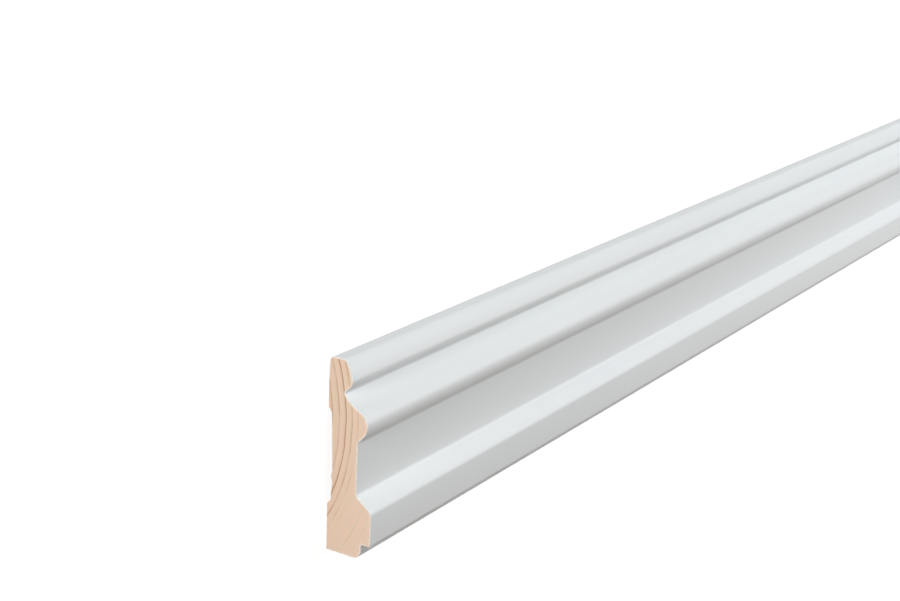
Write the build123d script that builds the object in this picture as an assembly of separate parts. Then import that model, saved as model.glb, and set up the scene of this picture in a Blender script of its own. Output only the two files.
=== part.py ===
from build123d import *
from math import atan2, cos, degrees, hypot, radians, sin, tan
import os

# A length of moulded softwood architrave, the trim that covers the joint between a door or
# window lining and the wall. It is one planed piece of timber, the same section all along,
# and square-sawn at both ends.
#
# It lies on its back. +X runs along the stock, +Y points across the face from the thick edge
# to the thin edge, and +Z points out of the moulded face. The origin is under the middle of
# the piece, on the plane that its two back bearings rest on. Sizes are in millimetres.

# The blank
STOCK_LENGTH = 2200.0
FACE_WIDTH = 69.0
THICKNESS = 18.0

# The thick edge: a block with a plain front face, and a rebate along its lower front arris
BLOCK_WIDTH = 18.2
REBATE_WIDTH = 5.7
REBATE_DEPTH = 3.75
REBATE_CORNER_RADIUS = 0.9
REBATE_NOSE_RADIUS = 3.4
FRONT_ARRIS_RADIUS = 0.7

# The bevel that drops from the block to the fascia, which is the flat middle of the face
BEVEL_WIDTH = 4.1
BEVEL_ARRIS_RADIUS = 5.2
BEVEL_FOOT_RADIUS = 2.0
FASCIA_SETBACK = 6.0
FASCIA_HEAD_RADIUS = 0.8

# The ogee: a round nose that leads up into a cove. Its place is taken from the thin edge.
OGEE_FROM_THIN_EDGE = 21.6
OGEE_SETBACK = 2.2
OGEE_NOSE_RADIUS = 5.4
OGEE_COVE_RADIUS = 12.0
OGEE_RETURN_ANGLE = 42.0

# The sunk quirk, and the bead above it that ends in the thin edge
BEAD_FROM_THIN_EDGE = 7.3
BEAD_SETBACK = 8.4
BEAD_NOSE_RADIUS = 2.6
BEAD_NOSE_END_ANGLE = 14.0
THIN_EDGE_SETBACK = 11.2
QUIRK_SETBACK = 11.6
QUIRK_WALL_ANGLE = 45.0
QUIRK_RADIUS = 1.0
THIN_EDGE_FRONT_RADIUS = 0.9
THIN_EDGE_BACK_RADIUS = 2.0
THICK_EDGE_BACK_RADIUS = 0.4

# The back: two bearings with a relief planed between them, so that the piece sits flat on
# an uneven wall. The relief is two slanting cutter passes, deepest where they meet, and they
# leave a low ridge there.
THICK_BEARING_WIDTH = 16.8
THIN_BEARING_FROM_THIN_EDGE = 8.6
THIN_BEARING_WIDTH = 9.4
THIN_EDGE_BACK_OFF = 0.45
RELIEF_SIDE_DEPTH = 1.35
RELIEF_MIDDLE_DEPTH = 1.9
RELIEF_SHOULDER_WIDTH = 1.6
RIDGE_FROM_SHOULDER = 8.6
RIDGE_HEIGHT = 0.45
RIDGE_BASE_WIDTH = 4.0


# Points of the section are (across, out): across from the thick edge, out from the bearings.
# Directions are angles in degrees from straight out, and they grow towards the thin edge.
def step(start, distance, direction):
    """The point at a distance from the start, in a direction."""
    return (
        start[0] + distance * sin(radians(direction)),
        start[1] + distance * cos(radians(direction)),
    )


def arc(centre, radius, from_direction, to_direction):
    """A stretch of a circle between two directions from its centre."""
    middle = (from_direction + to_direction) / 2
    return ThreePointArc(
        step(centre, radius, from_direction),
        step(centre, radius, middle),
        step(centre, radius, to_direction),
    )


def run_back(point, slope, level):
    """Where a straight wall through the point, at a slope to the face, comes down to a level."""
    return (point[0] - (point[1] - level) / tan(radians(slope)), level)


def thick_edge():
    """The thick edge, its rebate, the block's front and the bevel, as corners in order."""
    wall = THICKNESS - REBATE_DEPTH
    fascia = THICKNESS - FASCIA_SETBACK
    nose = min(REBATE_NOSE_RADIUS, 0.65 * REBATE_WIDTH)
    return [
        ((0, 0), THICK_EDGE_BACK_RADIUS),
        ((0, wall), nose),
        ((REBATE_WIDTH, wall), REBATE_CORNER_RADIUS),
        ((REBATE_WIDTH, THICKNESS), FRONT_ARRIS_RADIUS),
        ((BLOCK_WIDTH, THICKNESS), BEVEL_ARRIS_RADIUS),
        ((BLOCK_WIDTH + BEVEL_WIDTH, fascia), BEVEL_FOOT_RADIUS),
    ]


def bead():
    """The bead from the bottom of the quirk to the thin edge: its edges, and its two ends."""
    quirk_level = THICKNESS - QUIRK_SETBACK
    centre = (
        FACE_WIDTH - BEAD_FROM_THIN_EDGE,
        THICKNESS - BEAD_SETBACK - BEAD_NOSE_RADIUS,
    )
    foot = step(centre, BEAD_NOSE_RADIUS, -QUIRK_WALL_ANGLE)
    quirk = run_back(foot, QUIRK_WALL_ANGLE, quirk_level)
    nose = arc(centre, BEAD_NOSE_RADIUS, -QUIRK_WALL_ANGLE, BEAD_NOSE_END_ANGLE)
    end = (FACE_WIDTH, THICKNESS - THIN_EDGE_SETBACK)
    back = TangentArc(nose @ 1, end, tangent=nose % 1)
    return [Line(quirk, foot), nose, back], quirk, end


def ogee(quirk):
    """The ogee from the head of the fascia to the quirk: its edges, and its start."""
    centre = (
        FACE_WIDTH - OGEE_FROM_THIN_EDGE,
        THICKNESS - OGEE_SETBACK - OGEE_NOSE_RADIUS,
    )
    underside = step(centre, OGEE_NOSE_RADIUS, -OGEE_RETURN_ANGLE)
    head = run_back(underside, OGEE_RETURN_ANGLE, THICKNESS - FASCIA_SETBACK)

    # The cove touches the nose from outside and ends at the quirk, so its centre is where
    # two circles cross: one about the nose's centre, one about the quirk.
    reach = OGEE_NOSE_RADIUS + OGEE_COVE_RADIUS
    across, out = quirk[0] - centre[0], quirk[1] - centre[1]
    span = hypot(across, out)
    along = (reach**2 - OGEE_COVE_RADIUS**2 + span**2) / (2 * span)
    aside = (reach**2 - along**2) ** 0.5
    cove_centre = (
        centre[0] + (along * across - aside * out) / span,
        centre[1] + (along * out + aside * across) / span,
    )
    meeting = degrees(atan2(cove_centre[0] - centre[0], cove_centre[1] - centre[1]))
    ending = degrees(atan2(quirk[0] - cove_centre[0], quirk[1] - cove_centre[1])) % 360

    nose = arc(centre, OGEE_NOSE_RADIUS, -OGEE_RETURN_ANGLE, meeting)
    cove = arc(cove_centre, OGEE_COVE_RADIUS, meeting + 180, ending)
    return [Line(head, underside), nose, cove], head


def back_of_section():
    """The back from the thin edge to the thick edge, as corners in order."""
    bearing_top = FACE_WIDTH - THIN_BEARING_FROM_THIN_EDGE
    bearing_foot = bearing_top - THIN_BEARING_WIDTH
    relief_start = THICK_BEARING_WIDTH + RELIEF_SHOULDER_WIDTH
    ridge = relief_start + RIDGE_FROM_SHOULDER
    return [
        (FACE_WIDTH, THIN_EDGE_BACK_OFF),
        (bearing_top, 0),
        (bearing_foot, 0),
        (bearing_foot - RELIEF_SHOULDER_WIDTH, RELIEF_SIDE_DEPTH),
        (ridge + RIDGE_BASE_WIDTH / 2, RELIEF_MIDDLE_DEPTH),
        (ridge, RELIEF_MIDDLE_DEPTH - RIDGE_HEIGHT),
        (ridge - RIDGE_BASE_WIDTH / 2, RELIEF_MIDDLE_DEPTH),
        (relief_start, RELIEF_SIDE_DEPTH),
        (THICK_BEARING_WIDTH, 0),
    ]


def section():
    """The face that the cutters leave, with its small corners rounded."""
    block = thick_edge()
    bead_edges, quirk, thin_front = bead()
    ogee_edges, fascia_head = ogee(quirk)
    back = back_of_section()
    block_points = [point for point, radius in block]
    thin_wall = thin_front[1] - back[0][1]
    edges = [
        Polyline(*block_points, fascia_head),
        *ogee_edges,
        *bead_edges,
        Polyline(thin_front, *back, block_points[0]),
    ]
    rounded = [
        *block,
        (fascia_head, FASCIA_HEAD_RADIUS),
        (quirk, QUIRK_RADIUS),
        (thin_front, min(THIN_EDGE_FRONT_RADIUS, 0.3 * thin_wall)),
        (back[0], min(THIN_EDGE_BACK_RADIUS, 0.5 * thin_wall)),
    ]
    face = make_face(Curve() + edges)
    for corner, radius in rounded:
        vertex = face.vertices().sort_by_distance(Vertex(*corner))[0]
        face = fillet(vertex, radius)
    return face


def architrave():
    """The whole piece: the section run through the length of the stock."""
    face = Location((-FACE_WIDTH / 2, 0, 0)) * section()
    return extrude(Plane.YZ * face, STOCK_LENGTH / 2, both=True)


os.makedirs("parts", exist_ok=True)
piece = architrave()
piece.label = "architrave"
export_step(piece, "parts/architrave.step")
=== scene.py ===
from math import ceil, degrees, pi, radians, tan

import bmesh
import bpy
from mathutils import Matrix, Vector
from mathutils.geometry import intersect_sphere_sphere_2d


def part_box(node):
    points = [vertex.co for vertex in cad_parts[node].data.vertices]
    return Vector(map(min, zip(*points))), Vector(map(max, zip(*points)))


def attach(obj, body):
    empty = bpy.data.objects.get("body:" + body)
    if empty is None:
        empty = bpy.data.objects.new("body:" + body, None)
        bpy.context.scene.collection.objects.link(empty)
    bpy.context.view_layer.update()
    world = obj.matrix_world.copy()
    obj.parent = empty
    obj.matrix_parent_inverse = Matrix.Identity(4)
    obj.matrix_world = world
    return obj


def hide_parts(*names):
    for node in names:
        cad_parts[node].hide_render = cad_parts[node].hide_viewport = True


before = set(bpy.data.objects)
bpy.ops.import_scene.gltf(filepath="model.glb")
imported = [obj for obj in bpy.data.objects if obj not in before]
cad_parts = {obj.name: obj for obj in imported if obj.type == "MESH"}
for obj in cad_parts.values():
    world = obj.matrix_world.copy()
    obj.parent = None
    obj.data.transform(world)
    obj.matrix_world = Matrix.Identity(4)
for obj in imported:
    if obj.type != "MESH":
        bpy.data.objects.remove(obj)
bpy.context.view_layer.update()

MM = 0.001


# The timber. It is one length of softwood that a moulder planed to its section in one pass.
# Its outline is drawn here on the near sawn end, as the knives leave it, and is then run
# out to the full length of the stock.
low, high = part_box("architrave")
LENGTH, FACE_WIDTH, THICKNESS = high - low

BLOCK_WIDTH = 18.2 * MM
FRONT_ARRIS_RADIUS = 0.7 * MM
REBATE_WIDTH = 5.7 * MM
REBATE_DEPTH = 3.75 * MM
REBATE_CORNER_RADIUS = 0.9 * MM
REBATE_NOSE_RADIUS = 3.4 * MM
BEVEL_WIDTH = 4.1 * MM
BEVEL_ARRIS_RADIUS = 3.0 * MM
BEVEL_FOOT_RADIUS = 2.0 * MM
FASCIA_SETBACK = 6.0 * MM
FASCIA_HEAD_RADIUS = 0.8 * MM

OGEE_FROM_THIN_EDGE = 21.6 * MM
OGEE_SETBACK = 2.2 * MM
OGEE_NOSE_RADIUS = 5.4 * MM
OGEE_COVE_RADIUS = 12.0 * MM
OGEE_RETURN_ANGLE = 42.0

BEAD_FROM_THIN_EDGE = 7.3 * MM
BEAD_SETBACK = 8.4 * MM
BEAD_NOSE_RADIUS = 2.6 * MM
BEAD_NOSE_END_ANGLE = 14.0
QUIRK_SETBACK = 11.6 * MM
QUIRK_WALL_ANGLE = 45.0
QUIRK_RADIUS = 1.0 * MM
THIN_EDGE_SETBACK = 11.2 * MM
THIN_EDGE_FRONT_RADIUS = 1.2 * MM
THIN_EDGE_BACK_RADIUS = 2.0 * MM

THICK_EDGE_BACK_RADIUS = 0.4 * MM
THICK_BEARING_WIDTH = 16.8 * MM
THIN_BEARING_FROM_THIN_EDGE = 8.6 * MM
THIN_BEARING_WIDTH = 9.4 * MM
THIN_EDGE_BACK_OFF = 0.45 * MM
RELIEF_SIDE_DEPTH = 1.35 * MM
RELIEF_MIDDLE_DEPTH = 1.9 * MM
RELIEF_SHOULDER_WIDTH = 1.6 * MM
RIDGE_FROM_SHOULDER = 8.6 * MM
RIDGE_HEIGHT = 0.45 * MM
RIDGE_BASE_WIDTH = 4.0 * MM

FACET_ANGLE = 5.0
SMOOTH_UP_TO_ANGLE = 20.0
TOUCHING = 0.01 * MM


def on_end(place):
    """A place on the near sawn end, from its distances across the face and out of the back."""
    return Vector((low.x, low.y + place[0], low.z + place[1]))


def away(start, distance, direction):
    """The place at a distance from another, at an angle from straight out of the face."""
    return Vector(start) + Matrix.Rotation(-radians(direction), 2) @ Vector((0, distance))


def run_back(place, slope, level):
    """Where a wall through the place, at a slope to the face, comes down to a level."""
    return Vector((place[0] - (place[1] - level) / tan(radians(slope)), level))


def select_where(piece, kind, wanted):
    """Selects what passes a test in the mesh being edited, and nothing else."""
    mesh = bmesh.from_edit_mesh(piece.data)
    bpy.ops.mesh.select_mode(type={"verts": "VERT", "edges": "EDGE", "faces": "FACE"}[kind])
    bpy.ops.mesh.select_all(action="DESELECT")
    for part in getattr(mesh, kind):
        part.select_set(bool(wanted(part)))
    mesh.select_flush_mode()
    bmesh.update_edit_mesh(piece.data)


class Outline:
    """A pencil that draws a section on the near sawn end, one run or sweep at a time."""

    def __init__(self, name, start):
        bpy.ops.object.select_all(action="DESELECT")
        bpy.ops.mesh.primitive_plane_add(size=MM, location=on_end(start))
        self.piece = bpy.context.object
        self.piece.name = name
        self.start = self.pen = Vector(start)
        bpy.ops.object.transform_apply(location=True)
        bpy.ops.object.mode_set(mode="EDIT")
        bpy.ops.mesh.select_mode(type="VERT")
        bpy.ops.mesh.merge(type="CENTER")

    def run_to(self, *places):
        """Draws straight runs through the places."""
        for place in places:
            step = on_end(place) - on_end(self.pen)
            bpy.ops.mesh.extrude_region_move(TRANSFORM_OT_translate={"value": step})
            self.pen = Vector(place)

    def sweep_to(self, centre, end):
        """Draws an arc about a centre, the short way round."""
        turn = (self.pen - centre).angle_signed(Vector(end) - centre)
        steps = ceil(abs(degrees(turn)) / FACET_ANGLE)
        bpy.ops.mesh.spin(steps=steps, angle=turn, center=on_end(centre), axis=(1, 0, 0))
        self.pen = Vector(end)

    def close(self):
        """Runs back to the start and fills the outline with a face."""
        self.run_to(self.start)
        bpy.ops.mesh.select_all(action="SELECT")
        bpy.ops.mesh.remove_doubles(threshold=TOUCHING)
        bpy.ops.mesh.edge_face_add()

    def ease(self, corner, radius):
        """Rounds the corner of the filled outline that stands at a place."""
        at = on_end(corner)
        select_where(self.piece, "verts", lambda vertex: (vertex.co - at).length < TOUCHING)
        vertex = next(v for v in bmesh.from_edit_mesh(self.piece.data).verts if v.select)
        before, after = [edge.other_vert(vertex).co - at for edge in vertex.link_edges]
        turn = radians(180) - before.angle(after)
        bpy.ops.mesh.bevel(
            affect="VERTICES",
            offset=radius * tan(turn / 2),
            segments=max(2, ceil(degrees(turn) / (2 * FACET_ANGLE))),
            profile=0.5,
        )


# The thick edge: its rebate, the front of the block and the bevel, down to the fascia.
wall = THICKNESS - REBATE_DEPTH
fascia = THICKNESS - FASCIA_SETBACK
bevel_foot = BLOCK_WIDTH + BEVEL_WIDTH
outline = Outline("planed_timber", (0, 0))
outline.run_to(
    (0, wall),
    (REBATE_WIDTH, wall),
    (REBATE_WIDTH, THICKNESS),
    (BLOCK_WIDTH, THICKNESS),
    (bevel_foot, fascia),
)

# The bead and the quirk are set out first, because the ogee's cove ends in the quirk.
bead_centre = Vector(
    (FACE_WIDTH - BEAD_FROM_THIN_EDGE, THICKNESS - BEAD_SETBACK - BEAD_NOSE_RADIUS)
)
bead_foot = away(bead_centre, BEAD_NOSE_RADIUS, -QUIRK_WALL_ANGLE)
bead_crest = away(bead_centre, BEAD_NOSE_RADIUS, BEAD_NOSE_END_ANGLE)
quirk = run_back(bead_foot, QUIRK_WALL_ANGLE, THICKNESS - QUIRK_SETBACK)
thin_front = Vector((FACE_WIDTH, THICKNESS - THIN_EDGE_SETBACK))

# The ogee is a round nose that leads up into a cove, which touches it from outside.
nose_centre = Vector(
    (FACE_WIDTH - OGEE_FROM_THIN_EDGE, THICKNESS - OGEE_SETBACK - OGEE_NOSE_RADIUS)
)
nose_foot = away(nose_centre, OGEE_NOSE_RADIUS, -OGEE_RETURN_ANGLE)
fascia_head = run_back(nose_foot, OGEE_RETURN_ANGLE, fascia)
reach = OGEE_NOSE_RADIUS + OGEE_COVE_RADIUS
cove_centre = max(
    intersect_sphere_sphere_2d(nose_centre, reach, quirk, OGEE_COVE_RADIUS),
    key=lambda centre: centre.y,
)
outline.run_to(fascia_head, nose_foot)
outline.sweep_to(nose_centre, nose_centre.lerp(cove_centre, OGEE_NOSE_RADIUS / reach))
outline.sweep_to(cove_centre, quirk)

# The bead's back runs on from its nose without a kink, down to the thin edge.
inwards = (bead_centre - bead_crest).normalized()
chord = thin_front - bead_crest
back_radius = chord.length_squared / (2 * inwards.dot(chord))
outline.run_to(bead_foot)
outline.sweep_to(bead_centre, bead_crest)
outline.sweep_to(bead_crest + back_radius * inwards, thin_front)

# The back has two bearings, and a relief of two slanting cutter passes, which leave a low
# ridge where they meet.
thin_back = Vector((FACE_WIDTH, THIN_EDGE_BACK_OFF))
bearing_top = FACE_WIDTH - THIN_BEARING_FROM_THIN_EDGE
bearing_foot = bearing_top - THIN_BEARING_WIDTH
relief_start = THICK_BEARING_WIDTH + RELIEF_SHOULDER_WIDTH
ridge = relief_start + RIDGE_FROM_SHOULDER
outline.run_to(
    thin_back,
    (bearing_top, 0),
    (bearing_foot, 0),
    (bearing_foot - RELIEF_SHOULDER_WIDTH, RELIEF_SIDE_DEPTH),
    (ridge + RIDGE_BASE_WIDTH / 2, RELIEF_MIDDLE_DEPTH),
    (ridge, RELIEF_MIDDLE_DEPTH - RIDGE_HEIGHT),
    (ridge - RIDGE_BASE_WIDTH / 2, RELIEF_MIDDLE_DEPTH),
    (relief_start, RELIEF_SIDE_DEPTH),
    (THICK_BEARING_WIDTH, 0),
)
outline.close()

outline.ease((0, 0), THICK_EDGE_BACK_RADIUS)
outline.ease((0, wall), REBATE_NOSE_RADIUS)
outline.ease((REBATE_WIDTH, wall), REBATE_CORNER_RADIUS)
outline.ease((REBATE_WIDTH, THICKNESS), FRONT_ARRIS_RADIUS)
outline.ease((BLOCK_WIDTH, THICKNESS), BEVEL_ARRIS_RADIUS)
outline.ease((bevel_foot, fascia), BEVEL_FOOT_RADIUS)
outline.ease(fascia_head, FASCIA_HEAD_RADIUS)
outline.ease(quirk, QUIRK_RADIUS)
outline.ease(thin_front, THIN_EDGE_FRONT_RADIUS)
outline.ease(thin_back, THIN_EDGE_BACK_RADIUS)

timber = outline.piece
select_where(timber, "faces", lambda face: True)
bpy.ops.mesh.extrude_region_move(TRANSFORM_OT_translate={"value": (LENGTH, 0, 0)})
bpy.ops.mesh.select_all(action="SELECT")
bpy.ops.mesh.normals_make_consistent(inside=False)

# The face and both edges are painted before the piece is cut to length. So a thin rim of
# paint shows round the sawn ends, the wood inside it is bare, and so is the back.
PINE, PAINT, PAINT_RIM = range(3)
RIM_WIDTH = 0.5 * MM
SAWN_ARRIS = 0.15 * MM


def is_end(face):
    """Whether the face lies on one of the two sawn ends."""
    return abs(face.normal.x) > 0.9


def is_back(face):
    """Whether the face lies on the bearings or the relief, and not under the rebate."""
    return face.normal.z < -0.5 and face.calc_center_median().z < low.z + 2 * RELIEF_MIDDLE_DEPTH


def touches_paint(face):
    """Whether the face has an edge in common with a painted one."""
    around = [other for edge in face.edges for other in edge.link_faces]
    return any(not is_end(other) and not is_back(other) for other in around)


def is_sawn_edge(edge):
    """Whether the saw made the edge, between an end and a face along the length."""
    return {is_end(face) for face in edge.link_faces} == {True, False}


select_where(timber, "faces", is_end)
bpy.ops.mesh.inset(thickness=RIM_WIDTH)
bpy.ops.mesh.remove_doubles(threshold=0.5 * RIM_WIDTH)
for face in bmesh.from_edit_mesh(timber.data).faces:
    if is_end(face):
        face.material_index = PAINT_RIM if touches_paint(face) else PINE
    else:
        face.material_index = PINE if is_back(face) else PAINT
select_where(timber, "edges", is_sawn_edge)
bpy.ops.mesh.bevel(offset=SAWN_ARRIS, segments=2)
bpy.ops.mesh.select_all(action="SELECT")
bpy.ops.mesh.bisect(plane_co=(0, 0, 0), plane_no=(1, 0, 0))

# Where the faces lie on a picture of the materials. The two sawn ends
# stand side by side at its foot, larger than the rest, because they carry the growth rings.
# The walls are unrolled above them from the back of the thick edge, the near half first.
PICTURE_GAP = 0.004
mesh = bmesh.from_edit_mesh(timber.data)
on_picture = mesh.loops.layers.uv.verify()


def is_wall(face):
    """Whether the face runs along the length, unlike the ends and their arrises."""
    return abs(face.normal.x) < 0.02


end_scale = (1 - 3 * PICTURE_GAP) / (2 * FACE_WIDTH)
for face in mesh.faces:
    if is_wall(face):
        continue
    side = 1 if face.normal.x > 0 else -1
    for corner in face.loops:
        sideways = 0.5 - PICTURE_GAP - (high.y - corner.vert.co.y) * end_scale
        upwards = PICTURE_GAP + (corner.vert.co.z - low.z) * end_scale
        corner[on_picture].uv = (0.5 + side * sideways, upwards)

# The walls' places are found by a walk round the ring of edges at the middle of the length.
ring = [edge for edge in mesh.edges if all(abs(end.co.x) < TOUCHING for end in edge.verts)]
on_bearings = [end for edge in ring for end in edge.verts if end.co.z - low.z < TOUCHING]
height = 2 * PICTURE_GAP + THICKNESS * end_scale
row_height = (1 - height) / 2
wall_scale = (row_height - PICTURE_GAP) / sum(edge.calc_length() for edge in ring)
here = min(on_bearings, key=lambda end: end.co.y)
while ring:
    ways_on = [edge for edge in ring if here in edge.verts]
    edge = min(ways_on, key=lambda way: way.other_vert(here).co.y)
    ring.remove(edge)
    there = edge.other_vert(here)
    step = edge.calc_length() * wall_scale
    for face in edge.link_faces:
        row = 1 if face.calc_center_median().x > 0 else 0
        for corner in face.loops:
            place = corner.vert.co
            sideways = place.x / (LENGTH / 2) + 1 - row
            is_there = (place.yz - there.co.yz).length < TOUCHING
            corner[on_picture].uv = (
                PICTURE_GAP + sideways * (1 - 2 * PICTURE_GAP),
                height + row * row_height + (step if is_there else 0),
            )
    here = there
    height += step
bmesh.update_edit_mesh(timber.data)
bpy.ops.object.mode_set(mode="OBJECT")
timber.data.uv_layers.active.name = "OFBake"
bpy.ops.object.shade_smooth_by_angle(angle=radians(SMOOTH_UP_TO_ANGLE))
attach(timber, "root")
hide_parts("architrave")


def screen(red, green, blue):
    """A colour for Blender, from its red, green and blue on a screen, 0 to 255."""
    return (*[((part / 255 + 0.055) / 1.055) ** 2.4 for part in (red, green, blue)], 1)


def grey(share):
    """A number as the colour of a ramp's stop."""
    return share, share, share, 1


class Value:
    """What a shader node gives out. Python's operators on it add Math nodes."""

    def __init__(self, shader, socket):
        self.shader = shader
        self.socket = socket

    def math(self, operation, *numbers):
        return self.shader.node("Math", {"operation": operation}, dict(enumerate(numbers)))

    def __add__(self, other):
        return self.math("ADD", self, other)

    def __sub__(self, other):
        return self.math("SUBTRACT", self, other)

    def __rsub__(self, other):
        return self.math("SUBTRACT", other, self)

    def __mul__(self, other):
        return self.math("MULTIPLY", self, other)

    def __truediv__(self, other):
        return self.math("DIVIDE", self, other)

    def __pow__(self, other):
        return self.math("POWER", self, other)

    def __gt__(self, other):
        return self.math("GREATER_THAN", self, other)

    def fraction(self):
        return self.math("FRACT", self)

    def sine(self):
        return self.math("SINE", self)

    __radd__ = __add__
    __rmul__ = __mul__


class Shader:
    """The nodes of a material or of the world."""

    def __init__(self, owner):
        owner.use_nodes = True
        self.tree = owner.node_tree
        self.tree.nodes.clear()

    def node(self, kind, settings, sockets, out=0):
        """Adds a node of a kind, with its settings first and then its sockets' values or links."""
        node = self.tree.nodes.new("ShaderNode" + kind)
        for name, setting in settings.items():
            if name == "stops":
                self.set_stops(node.color_ramp.elements, setting)
            elif name == "interpolation":
                node.color_ramp.interpolation = setting
            else:
                setattr(node, name, setting)
        for name, value in sockets.items():
            if isinstance(value, Value):
                self.tree.links.new(value.socket, node.inputs[name])
            else:
                node.inputs[name].default_value = value
        return Value(self, node.outputs[out]) if node.outputs else node

    def set_stops(self, elements, stops):
        elements.remove(elements[1])
        elements[0].position, elements[0].color = stops[0]
        for position, colour in stops[1:]:
            elements.new(position).color = colour

    def from_near_corner(self):
        """How far a place is along, across and out from the lower back corner of the near end."""
        place = self.node("TexCoord", {}, {}, out="Object")
        return [
            self.node("SeparateXYZ", {}, {0: place}, out=axis) - start
            for axis, start in zip("XYZ", low)
        ]

    def noise(self, along, across, out, detail=2):
        """A noise about 0.5. What it is given counts its grains each way."""
        place = self.node("CombineXYZ", {}, {0: along, 1: across, 2: out})
        return self.node("TexNoise", {}, {"Vector": place, "Scale": 1, "Detail": detail})

    def ramp(self, factor, *stops, interpolation="LINEAR"):
        """A colour that depends on a number, through stops of a position and a colour."""
        return self.node(
            "ValToRGB", {"interpolation": interpolation, "stops": stops}, {"Fac": factor}
        )

    def mix(self, factor, first, second, blend="MIX"):
        """Two colours mixed."""
        settings = {"data_type": "RGBA", "blend_type": blend}
        return self.node("Mix", settings, {0: factor, 6: first, 7: second}, out=2)

    def bump(self, height, depth):
        """The normal of a relief as deep as given, where the height goes from 0 to 1."""
        return self.node("Bump", {}, {"Height": height, "Strength": 1, "Distance": depth})

    def surface(self, sockets):
        shader = self.node("BsdfPrincipled", {}, sockets)
        self.node("OutputMaterial", {}, {"Surface": shader})


def new_finish(name):
    finish = bpy.data.materials.new(name)
    timber.data.materials.append(finish)
    return Shader(finish)


# The bare pine of the sawn ends and of the back. The growth rings are cylinders about the
# pith, which lay behind the back, so the ends cut them into arcs and the back into streaks.
PITH_FROM_THICK_EDGE = 47.3 * MM
PITH_BEHIND_BACK = 60.4 * MM
FIRST_RING_RADIUS = 62.1 * MM
RINGS_PER_METRE = 327.8
RING_CROWDING = 5880
RING_STRENGTHS = (0.65, 0.62, 1.0, 0.68, 0.34, 0.08, 0.05, 0.2, 0.24, 0.06)
RING_WAVER = 0.7 * MM
LATE_WOOD_SEASON = 0.92
PITH_SWAY = 2.2 * MM
PITH_DIP = 0.8
SWAYS_PER_METRE = 0.8
SAW_MARK_DEPTH = 0.05 * MM

pine = new_finish("bare_pine")
along, across, out = pine.from_near_corner()
sway = (along * (2 * pi * SWAYS_PER_METRE)).sine() * PITH_SWAY
sideways = across - PITH_FROM_THICK_EDGE + sway
outwards = out + PITH_BEHIND_BACK - sway * PITH_DIP
waver = pine.noise(along * 3, across * 110, out * 110) - 0.5
depth = (sideways**2 + outwards**2) ** 0.5 - FIRST_RING_RADIUS + waver * RING_WAVER
ring = depth * RINGS_PER_METRE + depth * depth * RING_CROWDING
late_wood = pine.ramp(
    (ring + LATE_WOOD_SEASON).fraction(),
    (0.0, grey(0.0)),
    (0.5, grey(0.02)),
    (0.78, grey(0.22)),
    (0.88, grey(1.0)),
    (0.96, grey(0.9)),
    (1.0, grey(0.0)),
)
steps = [(number / len(RING_STRENGTHS), grey(share)) for number, share in enumerate(RING_STRENGTHS)]
strength = pine.ramp((ring + 0.5) / len(RING_STRENGTHS), *steps, interpolation="CONSTANT")
patchy = pine.noise(along * 4, across * 130 + 3, out * 130)
faint = pine.ramp(patchy, (0.45, grey(0.0)), (0.62, grey(1.0)))
marked = strength * (strength + (1 - strength) * faint)
warm = pine.noise(along * 2, across * 30, ring * 1.7)
pale = pine.ramp(warm, (0.38, screen(239, 208, 189)), (0.62, screen(233, 210, 184)))
wood = pine.mix(late_wood * marked * (patchy * 0.8 + 0.6), pale, screen(186, 144, 114))
fibre = pine.noise(along * 22, across * 2600, out * 2600)
shade = pine.ramp(fibre, (0.25, screen(244, 242, 240)), (0.75, screen(255, 255, 255)))
wood = pine.mix(1, wood, shade, "MULTIPLY")
saw = pine.noise(along * 40, across * 300, out * 1100 + across * 330)
pine.surface({
    "Base Color": wood,
    "Roughness": 0.72,
    "Specular IOR Level": 0.3,
    "Normal": pine.bump(saw * 0.6 + fibre * 0.4, SAW_MARK_DEPTH),
})

# The white paint of the face and both edges. It is a satin coat, sprayed on in a mill, through
# which the lie of the fibres only just shows.
SPRAY_DEPTH = 0.004 * MM

paint = new_finish("satin_white_paint")
along, across, out = paint.from_near_corner()
cloud = paint.noise(along * 9, across * 60, out * 60)
grain = paint.noise(along * 14, across * 900, out * 900)
spray = paint.noise(along * 700, across * 700, out * 700)
paint.surface({
    "Base Color": paint.ramp(cloud, (0.3, screen(230, 234, 236)), (0.7, screen(232, 236, 237))),
    "Roughness": 0.42 + 0.08 * cloud,
    "Specular IOR Level": 0.35,
    "Normal": paint.bump(grain * 0.6 + spray * 0.4, SPRAY_DEPTH),
})

# The rim of paint at the saw cut. The saw leaves it duller than the face and a little ragged,
# with some of the wood's colour in it.
RAGGED_DEPTH = 0.05 * MM

rim = new_finish("sawn_rim_of_paint")
along, across, out = rim.from_near_corner()
torn = rim.noise(along * 500, across * 500, out * 500)
rim.surface({
    "Base Color": rim.ramp(torn, (0.35, screen(235, 214, 196)), (0.65, screen(238, 228, 219))),
    "Roughness": 0.6,
    "Normal": rim.bump(torn, RAGGED_DEPTH),
})


# The floor that the timber lies on, which is pale and matt. The camera sees it white, and it
# keeps the timber's faint shadow.
FLOOR_SIZE = 30
FLOOR_CLEARANCE = 0.1 * MM

bpy.ops.object.select_all(action="DESELECT")
bpy.ops.mesh.primitive_plane_add(size=FLOOR_SIZE, location=(0, 0, low.z - FLOOR_CLEARANCE))
floor = bpy.context.object
floor.name = "studio_floor"


def plainly_seen(shader):
    """Is 1 for what the camera sees, itself or in a gloss or through glass, and else 0."""
    camera, gloss, glass = [
        shader.node("LightPath", {}, {}, out=f"Is {ray} Ray")
        for ray in ("Camera", "Glossy", "Transmission")
    ]
    return camera + gloss + glass > 0.5


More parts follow.
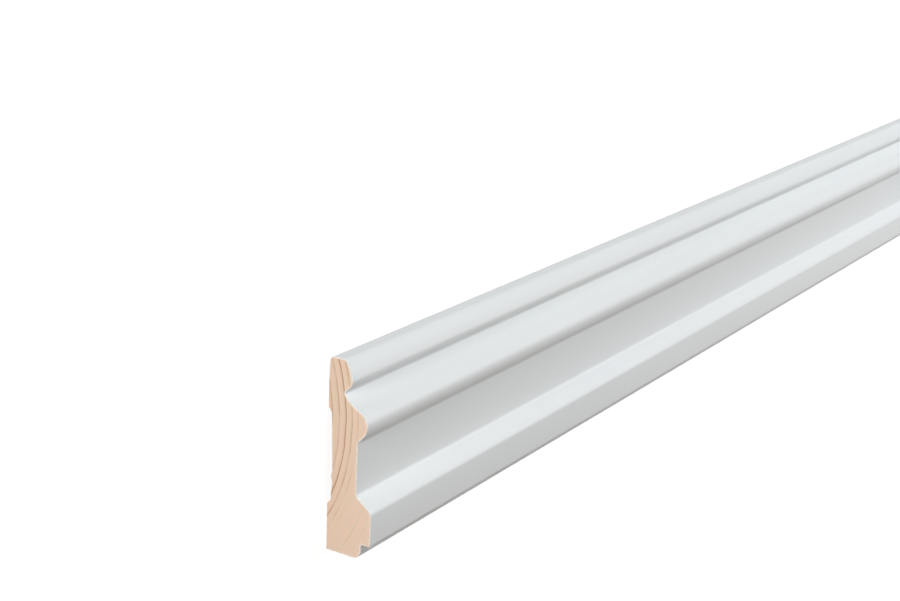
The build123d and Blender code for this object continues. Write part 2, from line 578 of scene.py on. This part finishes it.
floor_finish = bpy.data.materials.new("pale_floor")
floor.data.materials.append(floor_finish)
ground = Shader(floor_finish)
matt = ground.node("BsdfDiffuse", {}, {"Color": (0.4, 0.4, 0.4, 1)})
glow = ground.node("Emission", {}, {"Strength": 0.9})
bright = ground.node("AddShader", {}, {0: matt, 1: glow})
ground.node(
    "OutputMaterial",
    {},
    {"Surface": ground.node("MixShader", {}, {0: plainly_seen(ground), 1: matt, 2: bright})},
)


# The light: a plain studio with an even surround, which the camera sees white, and large
# soft boxes.
studio = bpy.data.worlds.new("studio_surround")
bpy.context.scene.world = studio
surround = Shader(studio)
dim = surround.node("Background", {}, {"Color": (1, 0.5, 0.2, 1), "Strength": 0.08})
white = surround.node("Background", {}, {"Color": (1, 1, 1, 1), "Strength": 1})
surround.node(
    "OutputWorld",
    {},
    {"Surface": surround.node("MixShader", {}, {0: plainly_seen(surround), 1: dim, 2: white})},
)


SOFT_BOX_SIZE = 0.8
NEAR_PART = Vector((low.x + 0.25, 0, 0))
FAR_END = Vector((high.x, 0, 0))


def soft_box(name, watts, colour, lean, turn, place=NEAR_PART, distance=2.5, sheen=True):
    """A square lamp that faces a place, leant along the length and turned across the face."""
    towards = Matrix.Rotation(radians(-turn), 3, "X") @ Matrix.Rotation(radians(lean), 3, "Y")
    outward = towards @ Vector((0, 0, 1))
    bpy.ops.object.light_add(type="AREA", location=place + distance * outward)
    lamp = bpy.context.object
    lamp.name = name
    lamp.data.shape = "SQUARE"
    lamp.data.size = SOFT_BOX_SIZE
    lamp.data.energy = watts
    lamp.data.color = colour
    lamp.rotation_euler = outward.to_track_quat("Z", "Y").to_euler()
    lamp.visible_glossy = sheen


soft_box("key_soft_box", 79, (0.98, 1, 1), lean=-72, turn=86)
soft_box("top_soft_box", 26.5, (0.89, 0.955, 1), lean=15, turn=46)
soft_box("fill_soft_box", 24.4, (0.985, 1, 1), lean=40, turn=14)

# A fourth one lights the far end and the thick edge, and leaves no sheen on the face.
soft_box("far_soft_box", 20, (1, 1, 1), 46, -72, place=FAR_END, distance=1.8, sheen=False)


# The camera stands where the photograph was taken from. Its place follows from five things
# in the 900 by 601 frame: the focal length, the point where the long edges meet, the turn of
# the face about the length, and the place and distance of the near end's lower back corner.
PHOTO_WIDTH = 900
PHOTO_CENTRE = (450, 300.5)
FOCAL_LENGTH = 1650
VANISHING_POINT = (1578.86, -167.43)
FACE_TURN = 11.5
NEAR_CORNER = (326.1, 548.8)
CORNER_DISTANCE = 562.6 * MM


def sight(pixel):
    """The direction in which the camera sees a pixel, in the camera's own axes."""
    across, down = pixel
    return Vector((across - PHOTO_CENTRE[0], PHOTO_CENTRE[1] - down, -FOCAL_LENGTH)).normalized()


length_axis = sight(VANISHING_POINT)
up = Vector((0, 1, 0))
upright = (up - up.project(length_axis)).normalized()
width_axis = Matrix.Rotation(radians(FACE_TURN), 3, length_axis) @ upright
stance = Matrix((length_axis, width_axis, length_axis.cross(width_axis)))
bpy.ops.object.camera_add(location=low - stance @ sight(NEAR_CORNER) * CORNER_DISTANCE)
camera = bpy.context.object
camera.rotation_euler = stance.to_euler()
camera.data.lens = camera.data.sensor_width * FOCAL_LENGTH / PHOTO_WIDTH
camera.data.clip_start = 10 * MM
bpy.context.scene.camera = camera
bpy.context.scene.view_settings.view_transform = "Standard"
